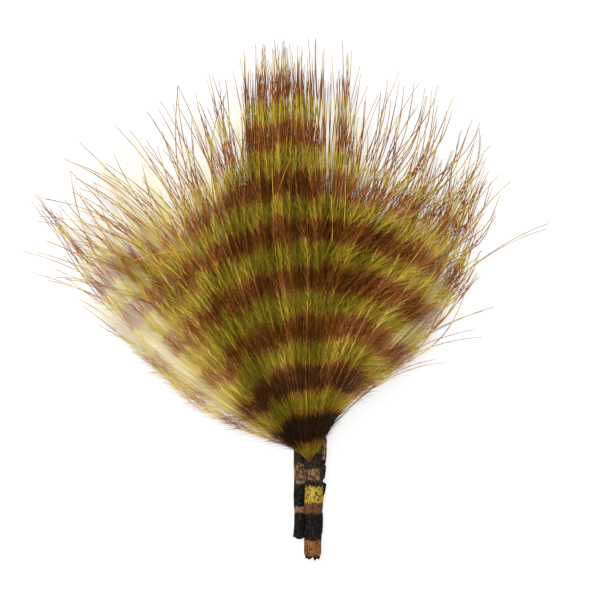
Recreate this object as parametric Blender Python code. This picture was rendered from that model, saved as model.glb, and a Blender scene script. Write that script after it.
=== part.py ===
"""Two barred marabou blood quills whose shafts have dried together, lying flat on a surface.

Each feather grew in one piece, so each is one solid: a bare quill, the shaft that goes on inside
the down, a soft fan of down, and the locks in which the down ends. The feathers lie side by side.
The frame has +Y from the cut quills to the tips, +X to the viewer's right from above, +Z up, and its
origin on the surface, under the middle of the pair. Run it with:
blender --background --python part.py
"""

import math

import bmesh
import bpy

MM = 0.001

# Where the down starts to spread, seen from above. Angles of the fan are measured round it, in
# degrees from straight up the feather, positive to the right.
ROOT_X = 4.9 * MM
ROOT_Y = -31.0 * MM

# The two feathers meet along a plane of constant X, with a gap that keeps their solids apart.
SPLIT_X = 4.1 * MM
SPLIT_GAP = 0.3 * MM

# The outline of the fan: (angle, how far the down is dense, how far its locks reach).
FAN = (
    (-63, 21 * MM, 29 * MM),
    (-58, 32 * MM, 42 * MM),
    (-52, 45 * MM, 60 * MM),
    (-45, 56 * MM, 72 * MM),
    (-35, 57 * MM, 73 * MM),
    (-25, 62 * MM, 76 * MM),
    (-15, 67 * MM, 79 * MM),
    (-7, 73 * MM, 81 * MM),
    (1, 72 * MM, 81 * MM),
    (7, 64 * MM, 80 * MM),
    (16, 61 * MM, 76 * MM),
    (25, 59 * MM, 74 * MM),
    (33, 52 * MM, 69 * MM),
    (40, 41 * MM, 59 * MM),
    (46, 29 * MM, 46 * MM),
    (52, 20 * MM, 36 * MM),
)

# The quills: butt and top in plan, and width at each. At the top the first barbs leave the quill.
# Near the root the fan is narrower than further out: outer_at_root is the share of its outer angle
# that it has at the root, and it is full from full_from outwards.
FEATHERS = {
    "left": {
        "butt": (2.86 * MM, -46.0 * MM),
        "top": (2.8 * MM, -29.6 * MM),
        "butt_width": 2.1 * MM,
        "top_width": 2.2 * MM,
        "shaft_angle": -24,
        "outer_angle": -62,
        "outer_at_root": 0.6,
        "full_from": 8 * MM,
        "colour": (0.21, 0.15, 0.03, 1.0),
    },
    "right": {
        "butt": (5.87 * MM, -50.0 * MM),
        "top": (6.3 * MM, -28.2 * MM),
        "butt_width": 3.0 * MM,
        "top_width": 3.8 * MM,
        "shaft_angle": 20,
        "outer_angle": 51,
        "outer_at_root": 0.3,
        "full_from": 19 * MM,
        "colour": (0.19, 0.13, 0.03, 1.0),
    },
}

# A growing quill dries a little flat, so its height is a share of its width.
QUILL_FLATNESS = 0.86
QUILL_SIDES = 12
QUILL_CHAMFER = 0.35 * MM
QUILL_RINGS = (0.35, 0.7, 1.0)
SHAFT_RINGS = (0.3, 0.65, 1.0)
SHAFT_TIP_WIDTH = 0.5 * MM
SHAFT_SHARE = 0.5
SHAFT_RISE = 2.0 * MM

# The dense down: a grid of columns round the root and rings outwards, as shares of its length.
PAD_COLUMNS = 13
PAD_RINGS = (0.045, 0.1, 0.18, 0.28, 0.4, 0.53, 0.66, 0.78, 0.9, 1.0)
PAD_PAST_SPLIT = 14
PAD_LOFT = 11.5 * MM
PAD_RIM = 1.5 * MM
PAD_LEAN = 0.9
PAD_SIDE_SHARE = 0.3
PAD_SIDE_ANGLE = 20
PAD_FURROW = 0.6 * MM
PAD_FURROWS_PER_DEGREE = 0.125

# Locks are spindles of down in three tiers. They start and end at shares of the fan's reach, and
# heights holds the height of their middle line at the start, halfway and at the tip.
LOCK_SIDES = 6
LOCK_STEPS = 6
LOCK_TIP = 0.22 * MM
LOCK_CLEARANCE = 0.1 * MM
LOCK_START_FULLNESS = 0.62
LOCK_FULLEST_AT = 0.31
LOCK_TAPER = 3.0
LOCK_BEND = 1.4
LOCK_SWING = 2.2
LOCK_SPREAD = 0.96
TIERS = (
    {"name": "rim", "count": 16, "start": 0.42, "reach": 1.0, "unevenness": 0.03,
     "half_width": 2.7 * MM, "half_height": 1.5 * MM, "heights": (2.6 * MM, 1.9 * MM, 0.9 * MM)},
    {"name": "middle", "count": 11, "start": 0.34, "reach": 0.95, "unevenness": 0.04,
     "half_width": 2.8 * MM, "half_height": 1.6 * MM, "heights": (7.5 * MM, 8.6 * MM, 3.0 * MM)},
    {"name": "crown", "count": 9, "start": 0.16, "reach": 0.88, "unevenness": 0.05,
     "half_width": 2.5 * MM, "half_height": 1.7 * MM, "heights": (6.0 * MM, 16.5 * MM, 4.6 * MM)},
)

# Tufts that stray past the fan: (feather, angle where they leave it, angle at the tip, reach).
STRAYS = (
    ("left", -42, -52.4, 70.6 * MM),
    ("left", -46, -55.4, 65 * MM),
    ("right", 2, 2.6, 81.2 * MM),
    ("right", 36, 44.9, 66.4 * MM),
    ("right", 42, 53.0, 45 * MM),
)
STRAY_HALF_WIDTH = 1.1 * MM
STRAY_START = 0.55

CUTTER_SIZE = 200 * MM


def clear_scene():
    for old in list(bpy.data.objects):
        bpy.data.objects.remove(old)


def fan_at(angle):
    """Length of the dense down and reach of the locks, straight between the outline's points."""
    for (a, dense_a, reach_a), (b, dense_b, reach_b) in zip(FAN, FAN[1:]):
        if angle <= b:
            share = max(0.0, (angle - a) / (b - a))
            return dense_a + (dense_b - dense_a) * share, reach_a + (reach_b - reach_a) * share
    return FAN[-1][1:]


def on_fan(angle, radius):
    """Plan position of a point of the fan."""
    turn = math.radians(angle)
    return ROOT_X + radius * math.sin(turn), ROOT_Y + radius * math.cos(turn)


def wobble(index, seed):
    """A repeatable number from -1 to 1 that looks irregular from one lock to the next."""
    return math.sin(index * 2.399 + seed * 1.7) * 0.6 + math.sin(index * 5.13 + seed) * 0.4


def add_object(name, bm):
    """Turn the bmesh into an object with its faces pointing out."""
    bmesh.ops.recalc_face_normals(bm, faces=bm.faces)
    mesh = bpy.data.meshes.new(name)
    bm.to_mesh(mesh)
    bm.free()
    made = bpy.data.objects.new(name, mesh)
    bpy.context.scene.collection.objects.link(made)
    return made


def add_ring(bm, centre, side, half_width, half_height, count):
    """Vertices on an upright ellipse round centre. side is the level unit vector across it."""
    ring = []
    for i in range(count):
        turn = 2 * math.pi * (i + 0.5) / count
        across = half_width * math.cos(turn)
        above = half_height * math.sin(turn)
        x = centre[0] + across * side[0]
        y = centre[1] + across * side[1]
        ring.append(bm.verts.new((x, y, centre[2] + above)))
    return ring


def lofted(name, stations, sides, pointed):
    """A closed tube through stations of (centre, half width, half height), level across its width."""
    bm = bmesh.new()
    rings = []
    last = len(stations) - 1
    for i, (centre, half_width, half_height) in enumerate(stations):
        before = stations[max(i - 1, 0)][0]
        after = stations[min(i + 1, last)][0]
        along_x = after[0] - before[0]
        along_y = after[1] - before[1]
        length = math.hypot(along_x, along_y)
        side = (along_y / length, -along_x / length)
        rings.append(add_ring(bm, centre, side, half_width, half_height, sides))
    for ring_a, ring_b in zip(rings, rings[1:]):
        for i in range(sides):
            j = (i + 1) % sides
            bm.faces.new((ring_a[i], ring_a[j], ring_b[j], ring_b[i]))
    bm.faces.new(rings[0])
    if pointed:
        bmesh.ops.pointmerge(bm, verts=rings[-1], merge_co=stations[-1][0])
    else:
        bm.faces.new(rings[-1])
    return add_object(name, bm)


def quill_and_shaft(side):
    """The bare quill from its chamfered butt to its top, then the shaft inside the down."""
    spec = FEATHERS[side]
    butt_x, butt_y = spec["butt"]
    top_x, top_y = spec["top"]
    chamfer_share = QUILL_CHAMFER / (top_y - butt_y)
    stations = []
    for share in (0.0, chamfer_share, *QUILL_RINGS):
        full = spec["butt_width"] + (spec["top_width"] - spec["butt_width"]) * share
        half = full / 2 - (QUILL_CHAMFER if share == 0.0 else 0.0)
        centre = (butt_x + (top_x - butt_x) * share, butt_y + (top_y - butt_y) * share,
                  full / 2 * QUILL_FLATNESS)
        stations.append((centre, half, half * QUILL_FLATNESS))
    turn = math.radians(spec["shaft_angle"])
    length = fan_at(spec["outer_angle"] / 2)[1] * SHAFT_SHARE
    top_z = stations[-1][0][2]
    for share in SHAFT_RINGS:
        half = (spec["top_width"] * (1 - share) + SHAFT_TIP_WIDTH * share) / 2
        centre = (top_x + length * share**2 * math.sin(turn), top_y + length * share * math.cos(turn),
                  top_z + SHAFT_RISE * share)
        stations.append((centre, half, half * QUILL_FLATNESS))
    return lofted(f"{side}_feather", stations, QUILL_SIDES, pointed=False)


def outer_angle_at(side, radius):
    spec = FEATHERS[side]
    share = min(1.0, radius / spec["full_from"])
    return spec["outer_angle"] * (spec["outer_at_root"] + (1 - spec["outer_at_root"]) * share)


def pad_height(side, angle, share):
    """Height of the dense down: full along its middle, low at the rim and at its outer side."""
    inward = min(1.0, abs(angle - FEATHERS[side]["outer_angle"]) / PAD_SIDE_ANGLE)
    across = PAD_SIDE_SHARE + (1 - PAD_SIDE_SHARE) * math.sin(inward * math.pi / 2)
    along = math.sin(math.pi * share**PAD_LEAN)
    furrows = math.cos(2 * math.pi * angle * PAD_FURROWS_PER_DEGREE) * PAD_FURROW
    return PAD_RIM + ((PAD_LOFT - PAD_RIM) * across + furrows) * along


def pad_angle(side, column, radius):
    """Angle of a column of the pad. The first column lies past the split, the last on the outside."""
    inner = math.copysign(PAD_PAST_SPLIT, -FEATHERS[side]["outer_angle"])
    return inner + (outer_angle_at(side, radius) - inner) * column / (PAD_COLUMNS - 1)


def pad(side):
    """The dense down of one feather, domed above and flat underneath."""
    bm = bmesh.new()
    upper = []
    lower = []
    for share in PAD_RINGS:
        top_row = []
        bottom_row = []
        for column in range(PAD_COLUMNS):
            open_angle = pad_angle(side, column, FEATHERS[side]["full_from"])
            radius = fan_at(open_angle)[0] * share
            x, y = on_fan(pad_angle(side, column, radius), radius)
            height = pad_height(side, open_angle, share)
            top_row.append(bm.verts.new((x, y, height)))
            bottom_row.append(bm.verts.new((x, y, 0.0)))
        upper.append(top_row)
        lower.append(bottom_row)
    last_column = PAD_COLUMNS - 1
    for row in range(len(PAD_RINGS) - 1):
        for i in range(last_column):
            for grid in (upper, lower):
                bm.faces.new((grid[row][i], grid[row + 1][i], grid[row + 1][i + 1], grid[row][i + 1]))
        for column in (0, last_column):
            bm.faces.new((upper[row][column], upper[row + 1][column],
                          lower[row + 1][column], lower[row][column]))
    for row in (0, -1):
        for i in range(last_column):
            bm.faces.new((upper[row][i], upper[row][i + 1], lower[row][i + 1], lower[row][i]))
    return add_object(f"{side}_pad", bm)


def lock(name, start_angle, tip_angle, start, reach, half_width, half_height, heights):
    """One spindle of down. It swings to its tip angle and never dips to the surface."""
    stations = []
    first, halfway, last = heights
    for step in range(LOCK_STEPS + 1):
        share = step / LOCK_STEPS
        angle = start_angle + (tip_angle - start_angle) * share**LOCK_BEND
        x, y = on_fan(angle, start + (reach - start) * share)
        swell = math.sin(math.pi * min(1.0, share / LOCK_FULLEST_AT / 2))
        fullness = (LOCK_START_FULLNESS + (1 - LOCK_START_FULLNESS) * swell) * (1 - share**LOCK_TAPER)
        half_w = max(LOCK_TIP, half_width * fullness)
        half_h = max(LOCK_TIP, half_height * fullness)
        z = first * (1 - share) ** 2 + 2 * halfway * share * (1 - share) + last * share**2
        stations.append(((x, y, max(z, half_h + LOCK_CLEARANCE)), half_w, half_h))
    return lofted(name, stations, LOCK_SIDES, pointed=True)


def locks_of(side):
    """All the locks of one feather, tier by tier, with the strays last."""
    made = []
    for tier in TIERS:
        count = tier["count"]
        for i in range(count):
            place = LOCK_SPREAD * (i + 0.5) / count
            tip_angle = FEATHERS[side]["outer_angle"] * place + wobble(i, len(made)) * LOCK_SWING
            reach = fan_at(tip_angle)[1]
            start = reach * tier["start"]
            shorter = 1 - tier["unevenness"] * (1 + wobble(i * 3, count))
            made.append(lock(f"{side}_{tier['name']}_{i:02d}", outer_angle_at(side, start) * place,
                             tip_angle, start, reach * tier["reach"] * shorter,
                             tier["half_width"], tier["half_height"], tier["heights"]))
    for i, (stray_side, angle, tip_angle, reach) in enumerate(STRAYS):
        if stray_side == side:
            made.append(lock(f"{side}_stray_{i}", angle, tip_angle, reach * STRAY_START, reach,
                             STRAY_HALF_WIDTH, STRAY_HALF_WIDTH, TIERS[0]["heights"]))
    return made


def neighbour_space(side):
    """A box that fills the other feather's side of the split, up to half the gap on this side."""
    away = 1 if side == "left" else -1
    edge = SPLIT_X - away * SPLIT_GAP / 2
    bm = bmesh.new()
    bmesh.ops.create_cube(bm, size=CUTTER_SIZE)
    bmesh.ops.translate(bm, verts=bm.verts, vec=(edge + away * CUTTER_SIZE / 2, 0.0, 0.0))
    return add_object(f"{side}_neighbour", bm)


def as_helper(helper):
    helper.hide_render = True
    helper.display_type = "WIRE"


def down_material(side):
    made = bpy.data.materials.new(f"{side}_olive_down")
    made.use_nodes = True
    shader = made.node_tree.nodes["Principled BSDF"]
    shader.inputs["Base Color"].default_value = FEATHERS[side]["colour"]
    shader.inputs["Roughness"].default_value = 0.75
    shader.inputs["Metallic"].default_value = 0.0
    return made


def feather(side):
    """Quill, dense down and locks grown into one solid, then kept clear of the other feather."""
    body = quill_and_shaft(side)
    parts = bpy.data.collections.new(f"{side}_parts")
    bpy.context.scene.collection.children.link(parts)
    for part in [pad(side), *locks_of(side)]:
        bpy.context.scene.collection.objects.unlink(part)
        parts.objects.link(part)
        as_helper(part)
    grow = body.modifiers.new("grow", "BOOLEAN")
    grow.operation = "UNION"
    grow.operand_type = "COLLECTION"
    grow.collection = parts
    grow.solver = "EXACT"
    neighbour = neighbour_space(side)
    as_helper(neighbour)
    keep_clear = body.modifiers.new("keep_clear", "BOOLEAN")
    keep_clear.operation = "DIFFERENCE"
    keep_clear.object = neighbour
    keep_clear.solver = "EXACT"
    body.data.materials.append(down_material(side))
    return body


clear_scene()
for side in FEATHERS:
    feather(side)
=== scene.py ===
# %% [markdown]
# # A pair of barred marabou feathers
# Two young marabou feathers, still in their blood quills, lie side by side on a white surface. Their
# short dark quills are dry and papery. Above them the down opens into one soft fan, printed with
# brown bars on olive. Everything that is fine, which is each barb and the down on it, is made here,
# and it fills the place of the two plain solids in the frame.

import math

import bpy
import numpy as np
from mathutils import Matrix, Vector


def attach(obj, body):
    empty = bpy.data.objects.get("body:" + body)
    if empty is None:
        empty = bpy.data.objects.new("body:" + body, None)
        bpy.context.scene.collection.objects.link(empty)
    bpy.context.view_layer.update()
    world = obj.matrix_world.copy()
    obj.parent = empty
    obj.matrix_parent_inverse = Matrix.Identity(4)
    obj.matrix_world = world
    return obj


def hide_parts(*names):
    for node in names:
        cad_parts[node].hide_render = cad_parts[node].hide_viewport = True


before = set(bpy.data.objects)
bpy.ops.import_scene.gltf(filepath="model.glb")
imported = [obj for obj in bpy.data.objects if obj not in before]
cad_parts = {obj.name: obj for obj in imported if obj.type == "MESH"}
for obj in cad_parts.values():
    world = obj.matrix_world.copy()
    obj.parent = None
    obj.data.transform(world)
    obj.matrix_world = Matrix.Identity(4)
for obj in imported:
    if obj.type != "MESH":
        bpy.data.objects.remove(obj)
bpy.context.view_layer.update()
MM = 0.001
print("frame nodes:", sorted(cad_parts))

# %% [markdown]
# Materials and Geometry Nodes trees are both made of sockets and links. One small class wraps a
# socket, so that sums are written as plain Python, and one method adds any other node. Reading
# `1 - mask` is far easier than following the same sum through a screen of nodes.

# %% Sockets as values


class Wire:
    """A socket's value. Python's operators add the Math nodes for it."""

    def __init__(self, tree, socket):
        self.tree = tree
        self.socket = socket

    def node(self, kind, settings=None, values=None, out=0):
        return add_node(self.tree, kind, settings, values, out)

    def maths(self, operation, *operands):
        return self.node("ShaderNodeMath", {"operation": operation}, dict(enumerate(operands)))

    def __add__(self, other):
        return self.maths("ADD", self, other)

    def __radd__(self, other):
        return self.maths("ADD", other, self)

    def __sub__(self, other):
        return self.maths("SUBTRACT", self, other)

    def __rsub__(self, other):
        return self.maths("SUBTRACT", other, self)

    def __mul__(self, other):
        return self.maths("MULTIPLY", self, other)

    def __rmul__(self, other):
        return self.maths("MULTIPLY", other, self)

    def __truediv__(self, other):
        return self.maths("DIVIDE", self, other)

    def into(self, taker, name):
        self.tree.links.new(self.socket, taker.inputs[name])

    def held(self, low, high):
        """The same value, but never below low or above high."""
        return self.maths("MINIMUM", self.maths("MAXIMUM", self, low), high)

    def over(self, low, high):
        """0 below low, 1 above high, and smooth between them."""
        settings = {"interpolation_type": "SMOOTHSTEP"}
        return self.node("ShaderNodeMapRange", settings, {0: self, 1: low, 2: high})

    def vectors(self, operation, *others, out=0):
        operands = dict(enumerate((self, *others)))
        return self.node("ShaderNodeVectorMath", {"operation": operation}, operands, out)

    def scaled(self, amount):
        return self.node("ShaderNodeVectorMath", {"operation": "SCALE"}, {0: self, "Scale": amount})

    def axis(self, letter):
        return self.node("ShaderNodeSeparateXYZ", None, {0: self}, letter)

    def noise(self, scale, detail):
        return self.node("ShaderNodeTexNoise", None, {"Vector": self, "Scale": scale, "Detail": detail})

    def dyed(self, places, colours):
        """The colour that a ramp gives for this value."""
        return self.node("ShaderNodeValToRGB", {"stops": list(zip(places, colours))}, {"Fac": self})

    def mixed(self, first, second):
        """The first colour where this value is 0, and the second where it is 1."""
        return self.node("ShaderNodeMix", {"data_type": "RGBA"}, {0: self, 6: first, 7: second}, 2)


def add_node(tree, kind, settings=None, values=None, out=0):
    """Add a node, set it up, and give its sockets numbers, colours or wires."""
    made = tree.nodes.new(kind)
    for name, value in (settings or {}).items():
        if name == "stops":
            set_stops(made.color_ramp, value)
        else:
            setattr(made, name, value)
    for name, value in (values or {}).items():
        if isinstance(value, Wire):
            value.into(made, name)
        else:
            made.inputs[name].default_value = value
    return Wire(tree, made.outputs[out]) if len(made.outputs) else None


def set_stops(ramp, stops):
    """Give a colour ramp its stops, each one a place and a colour."""
    while len(ramp.elements) < len(stops):
        ramp.elements.new(1.0)
    for element, (place, colour) in zip(ramp.elements, stops):
        element.position = place
        element.color = (*colour, 1.0)


print("wires ready")

# %% Materials, objects and meshes


def new_material(name, constants):
    """A material, its tree, and its shader with the values that are the same all over."""
    made = bpy.data.materials.new(name)
    made.use_nodes = True
    shader = made.node_tree.nodes["Principled BSDF"]
    for key, value in constants.items():
        shader.inputs[key].default_value = value
    return made, made.node_tree, shader


def placed(name, data):
    """An object for a mesh, a curve, a camera or a light, linked to the scene."""
    made = bpy.data.objects.new(name, data)
    bpy.context.scene.collection.objects.link(made)
    return made


def plain_mesh(maker, name):
    """What an object's curve or modifier makes, kept as a plain mesh."""
    depsgraph = bpy.context.evaluated_depsgraph_get()
    mesh = bpy.data.meshes.new_from_object(maker.evaluated_get(depsgraph))
    mesh.name = name
    return mesh


print("helpers ready")

# %% [markdown]
# The feather is seen from straight above, so the camera hangs over it and looks down. A long lens
# from far away keeps the tips at the rim from leaning outwards. The real picture has no shadows and
# a burnt-out white ground, so the light is one wide soft panel and an even white world.

# %% Camera
VIEW_CENTRE = Vector((3.12 * MM, 0.49 * MM, 0.0))
VIEW_WIDTH = 117 * MM
LENS = 300
SENSOR = 36
camera_data = bpy.data.cameras.new("camera_above")
camera_data.lens = LENS
camera_data.sensor_width = SENSOR
camera = placed("camera_above", camera_data)
camera.location = VIEW_CENTRE + Vector((0.0, 0.0, VIEW_WIDTH * LENS / SENSOR))
bpy.context.scene.camera = camera
print(f"camera {camera.location.z * 1000:.0f} mm above the surface")

# %% Light
PANEL_SIZE = 0.6
PANEL_PLACE = Vector((-0.2, 0.25, 0.85))
PANEL_POWER = 9.0
WORLD_STRENGTH = 0.75
panel_data = bpy.data.lights.new("soft_panel", "AREA")
panel_data.size = PANEL_SIZE
panel_data.energy = PANEL_POWER
panel = placed("soft_panel", panel_data)
panel.location = PANEL_PLACE
panel.rotation_euler = (VIEW_CENTRE - PANEL_PLACE).to_track_quat("-Z", "Y").to_euler()
world = bpy.data.worlds.new("white_room")
world.use_nodes = True
world.node_tree.nodes["Background"].inputs["Color"].default_value = (1.0, 1.0, 1.0, 1.0)
world.node_tree.nodes["Background"].inputs["Strength"].default_value = WORLD_STRENGTH
bpy.context.scene.world = world
bpy.context.scene.view_settings.view_transform = "Standard"
print("one panel and a white world")

# %% Floor
FLOOR_HALF = 1.5
PAPER_GLOW = 0.8
PAPER_GRAIN = 900.0
PAPER_SHADES = ((0.14, 0.14, 0.14), (0.17, 0.17, 0.17))
floor_mesh = bpy.data.meshes.new("floor")
floor_corners = [(x * FLOOR_HALF, y * FLOOR_HALF, 0.0) for x, y in ((-1, -1), (1, -1), (1, 1), (-1, 1))]
floor_mesh.from_pydata(floor_corners, [], [(0, 1, 2, 3)])
floor = placed("floor", floor_mesh)
floor_paper, paper_tree, paper_shader = new_material("white_paper", {
    "Roughness": 0.9,
    "Emission Color": (1.0, 1.0, 1.0, 1.0),
    "Emission Strength": PAPER_GLOW,
})
paper_grain = add_node(paper_tree, "ShaderNodeTexCoord", out="Object").noise(PAPER_GRAIN, 2.0)
paper_grain.dyed((0.0, 1.0), PAPER_SHADES).into(paper_shader, "Base Color")
floor_mesh.materials.append(floor_paper)
print("floor ready")

# %% [markdown]
# The fan's outline is two short tables: how far the tips reach, and how far the down on the barbs
# goes, each at some angles round the root in mm. Each feather has its share of the fan, and close to
# the root it is pinched together.

# %% The fan
ROOT = np.array([4.9, -31.0]) * MM
TIPS = {-66: 24, -60: 36, -57: 48, -54: 62, -50: 72, -42: 76, -25: 76, -15: 77, -8: 81, 1: 81, 7: 79,
        16: 77, 25: 76, 31: 74, 36: 66, 42: 56, 48: 46, 53: 40}
DOWN = {-62: 36, -57: 48, -51: 58, -45: 60, -33: 50, -21: 54, -15: 60, -11: 68, -4: 69, 1: 60, 9: 53,
        21: 51, 27: 48, 33: 42, 39: 36, 45: 30}
QUILLS = {
    "left": {"butt": (3.08, -45.6), "top": (3.05, -29.6), "widths": (2.2, 2.3), "turn": -24,
             "shaft": 30.0, "flare": 0.15, "jag": 0.15},
    "right": {"butt": (5.55, -49.8), "top": (6.0, -28.2), "widths": (3.35, 4.0), "turn": 20,
              "shaft": 30.0, "flare": -0.18, "jag": 0.35},
}
QUILL_FLATNESS = 0.86
FEATHERS = {
    "left": {"outer": -58, "inner": 9, "at_root": 0.95, "full_from": 16 * MM, "bulge_from": 0.55,
             "foot": (-2.9 * MM, 2.8 * MM)},
    "right": {"outer": 41, "inner": -9, "at_root": 0.76, "full_from": 40 * MM, "bulge_from": 0.9,
              "foot": (2.6 * MM, 4.2 * MM)},
}


def down_at(angle):
    """How far the down on the barbs goes at an angle, in metres. Past it the strands are bare."""
    return np.interp(angle, list(DOWN), list(DOWN.values())) * MM


def reach_at(angle):
    """How far the tips reach at an angle, in metres."""
    return np.interp(angle, list(TIPS), list(TIPS.values())) * MM


def smooth(share):
    """0 at 0 and below, 1 at 1 and above, with no corner at either end."""
    share = np.clip(share, 0.0, 1.0)
    return share * share * (3 - 2 * share)


def rise(value, start, width):
    """0 up to the start and 1 from one width past it, with no corner at either end."""
    return smooth((value - start) / width)


def pinched(side, radius):
    """What share of its full spread a feather has at a distance from the root."""
    feather = FEATHERS[side]
    return feather["at_root"] + (1 - feather["at_root"]) * smooth(radius / feather["full_from"])


print(f"the fan reaches {reach_at(0.0) * 1000:.0f} mm straight up")

# %% [markdown]
# A barb is one thin strand. Barbs stick together in tufts: they spread where the fan is full, and
# draw together again towards the tuft's pointed tip. The tufts lie in three tiers, as in a real
# blood quill, with the longest barbs underneath and the shorter ones on top. Python works out the
# middle line of every barb, with numbers along it for Geometry Nodes to read.

# %% Tiers
TIERS = {
    "rim": {"tufts": 32, "barbs": 12, "reach": 1.02, "long": 0.7, "peak": (1.5, 5.0), "tip": (0.4, 2.5),
            "hidden": 0.12, "shown_from": 46 * MM, "sparse": 0.45},
    "middle": {"tufts": 20, "barbs": 15, "reach": 0.98, "long": 0.35, "peak": (5.0, 8.5), "tip": (1.0, 4.0),
               "hidden": 0.2, "shown_from": 40 * MM, "sparse": 0.25},
    "crown": {"tufts": 18, "barbs": 16, "reach": 0.93, "long": 0.2, "peak": (7.4, 9.8), "tip": (1.8, 5.4),
              "hidden": 0.25, "shown_from": 22 * MM, "sparse": 0.0},
}
SEED = 11
rng = np.random.default_rng(SEED)
print("tiers:", {name: tier["tufts"] * tier["barbs"] for name, tier in TIERS.items()})

# %% How full and how pale the fan is
THINNING = {"left": (0.9, 28, 22), "right": (0.93, 18, 15)}
PALING = {"left": ((0.25, 12, 20), (0.95, 30, 20)), "right": ((0.5, 8, 22), (0.6, 26, 12))}


def from_middle(side, angle):
    """An angle counted from straight up towards a feather's outer side."""
    return -angle if side == "left" else angle


def fullness_at(side, angle):
    """1 inside the fan, falling towards its outer side, where the down is thin and lets light in."""
    most, start, width = THINNING[side]
    return 1 - most * rise(from_middle(side, angle), start, width)


# The paleness at the outer sides is partly the thin down's own colour and partly painted light shining
# through it.
def paleness_and_light_at(side, angle):
    """0 in the middle of the fan and a little over 1 at its outer sides, where thin down looks pale."""
    turn = from_middle(side, angle)
    return sum(most * rise(turn, start, width) for most, start, width in PALING[side])


print(f"at its left side the fan is {fullness_at('left', -58.0):.1f} as full as in the middle")

# %% The path of a barb
STEPS = 24
STEP_PACKING = 0.9
TUFT_FOOT = 0.25
TUFT_OPEN = 0.55
TUFT_CLOSES = (0.6, 0.4)
FOOT_LIFT = 0.2 * MM
FOOT_HOLDS = 0.4
DRIFT_OVER = 0.42
DRIFT_EASE = 0.8
FULL_DRIFT = 12
UPRIGHT_TIPS = 5.0
UPRIGHT_OVER = (0.7, 0.4)
WAVE_TURN = 6.0
BULGE_ANGLES = (-60, -45, -20, 0, 20, 45)
BULGES = (-4, -2, -1, 0, 1, 0)
SIDE_DROP = 0.3
SIDE_ANGLE = 20
LOWEST_LINE = 0.3 * MM


def tuft_spread(share, tip_spread):
    """How far apart the barbs of a tuft are along it: narrow, full past the middle, then drawn in."""
    opening = TUFT_FOOT + (1 - TUFT_FOOT) * smooth(share / TUFT_OPEN)
    return opening * (1 - rise(share, *TUFT_CLOSES) * (1 - tip_spread))


def quill_top(x):
    """How high the surface of the two quills is where the down begins."""
    heights = []
    for quill in QUILLS.values():
        half = quill["widths"][1] * MM / 2
        away = (x - quill["top"][0] * MM) / half
        heights.append(half * QUILL_FLATNESS * (1 + math.sqrt(max(0.0, 1 - away ** 2))))
    return max(heights)


def foot_at(side, share):
    """Where a barb leaves the quill, from the root: the feet form a V across the quill's top."""
    share = max(share, 0.0)
    across, up = FEATHERS[side]["foot"]
    return across * share, up * share, quill_top(ROOT[0] + across * share) + FOOT_LIFT


def barb_line(side, tuft_angle, bend, offset, length, tip_spread, heights, wave):
    """Middle line of one barb, from its foot at the root to its tip."""
    feather = FEATHERS[side]
    drift, swing, drift_from = bend
    peak, tip = heights
    wave_size, wave_phase = wave
    share = np.linspace(0.0, 1.0, STEPS) ** STEP_PACKING
    radius = length * share
    bulge = np.interp(tuft_angle, BULGE_ANGLES, BULGES) * np.sin(math.pi * share ** feather["bulge_from"])
    angle = tuft_angle * pinched(side, radius) + bulge + offset * tuft_spread(share, tip_spread)
    drifted = np.clip((share - drift_from) / DRIFT_OVER, 0.0, 1.0) ** DRIFT_EASE
    angle += drift * smooth(drifted) + swing * share ** 3
    upright = UPRIGHT_TIPS * min(1.0, max(0.0, drift) / FULL_DRIFT) * rise(tuft_angle, 8, 10)
    angle -= upright * rise(share, *UPRIGHT_OVER)
    angle += wave_size * np.sin(wave_phase + share * WAVE_TURN) * share
    turn = np.radians(angle)
    foot = foot_at(side, tuft_angle / feather["outer"])
    held = np.clip(1 - share / FOOT_HOLDS, 0.0, 1.0) ** 2
    x = ROOT[0] + radius * np.sin(turn) + foot[0] * held
    y = ROOT[1] + radius * np.cos(turn) + foot[1] * held
    inward = min(1.0, abs(tuft_angle - feather["outer"]) / SIDE_ANGLE)
    across = SIDE_DROP + (1 - SIDE_DROP) * math.sin(inward * math.pi / 2)
    z = foot[2] * (1 - share) ** 3 + peak * across * np.sin(math.pi * share ** 0.85) + tip * share ** 3
    return np.stack([x, y, np.maximum(z, LOWEST_LINE)], axis=1)


print(f"the barbs leave the quills {quill_top(ROOT[0]) * 1000:.1f} mm up")

# %% Where the bars lie
BAR_PERIOD = 9.47
FIRST_BAR = 7.4
BAR_SHIFT_RADII = (7, 17, 26, 36, 45, 54, 63)
BAR_SHIFTS = {
    -58: (0.5, 0.2, 1.7, 0.0, 0.0, 1.5, 3.0),
    -46: (0.6, 0.3, 1.2, 0.6, 0.2, 0.8, 3.0),
    -33: (0.8, 0.8, 1.6, 2.2, 2.5, 4.4, 4.6),
    -22: (0.9, 1.0, 2.0, 1.4, 1.6, 2.4, 3.6),
    -8: (0.7, 0.1, 0.0, 0.0, -0.2, 0.4, 0.1),
    3: (0.5, -0.2, -0.2, -0.3, -0.2, 0.2, 0.0),
    15: (0.3, -0.9, -0.9, -0.5, -0.5, 1.0, 1.2),
    27: (-0.6, -1.2, -1.2, -0.4, 0.2, 0.5, 2.0),
    40: (-0.7, -1.2, -0.8, -0.8, -0.5, 0.0, 1.0),
}


def bars_moved(angle, radius):
    """How much nearer to the root the bars lie than evenly spaced ones would, in metres."""
    rows = np.array([np.interp(radius / MM, BAR_SHIFT_RADII, row) for row in BAR_SHIFTS.values()])
    turns = list(BAR_SHIFTS)
    return np.array([np.interp(turn, turns, column) for turn, column in zip(angle, rows.T)]) * MM


print("bars every", BAR_PERIOD, "mm")

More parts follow.
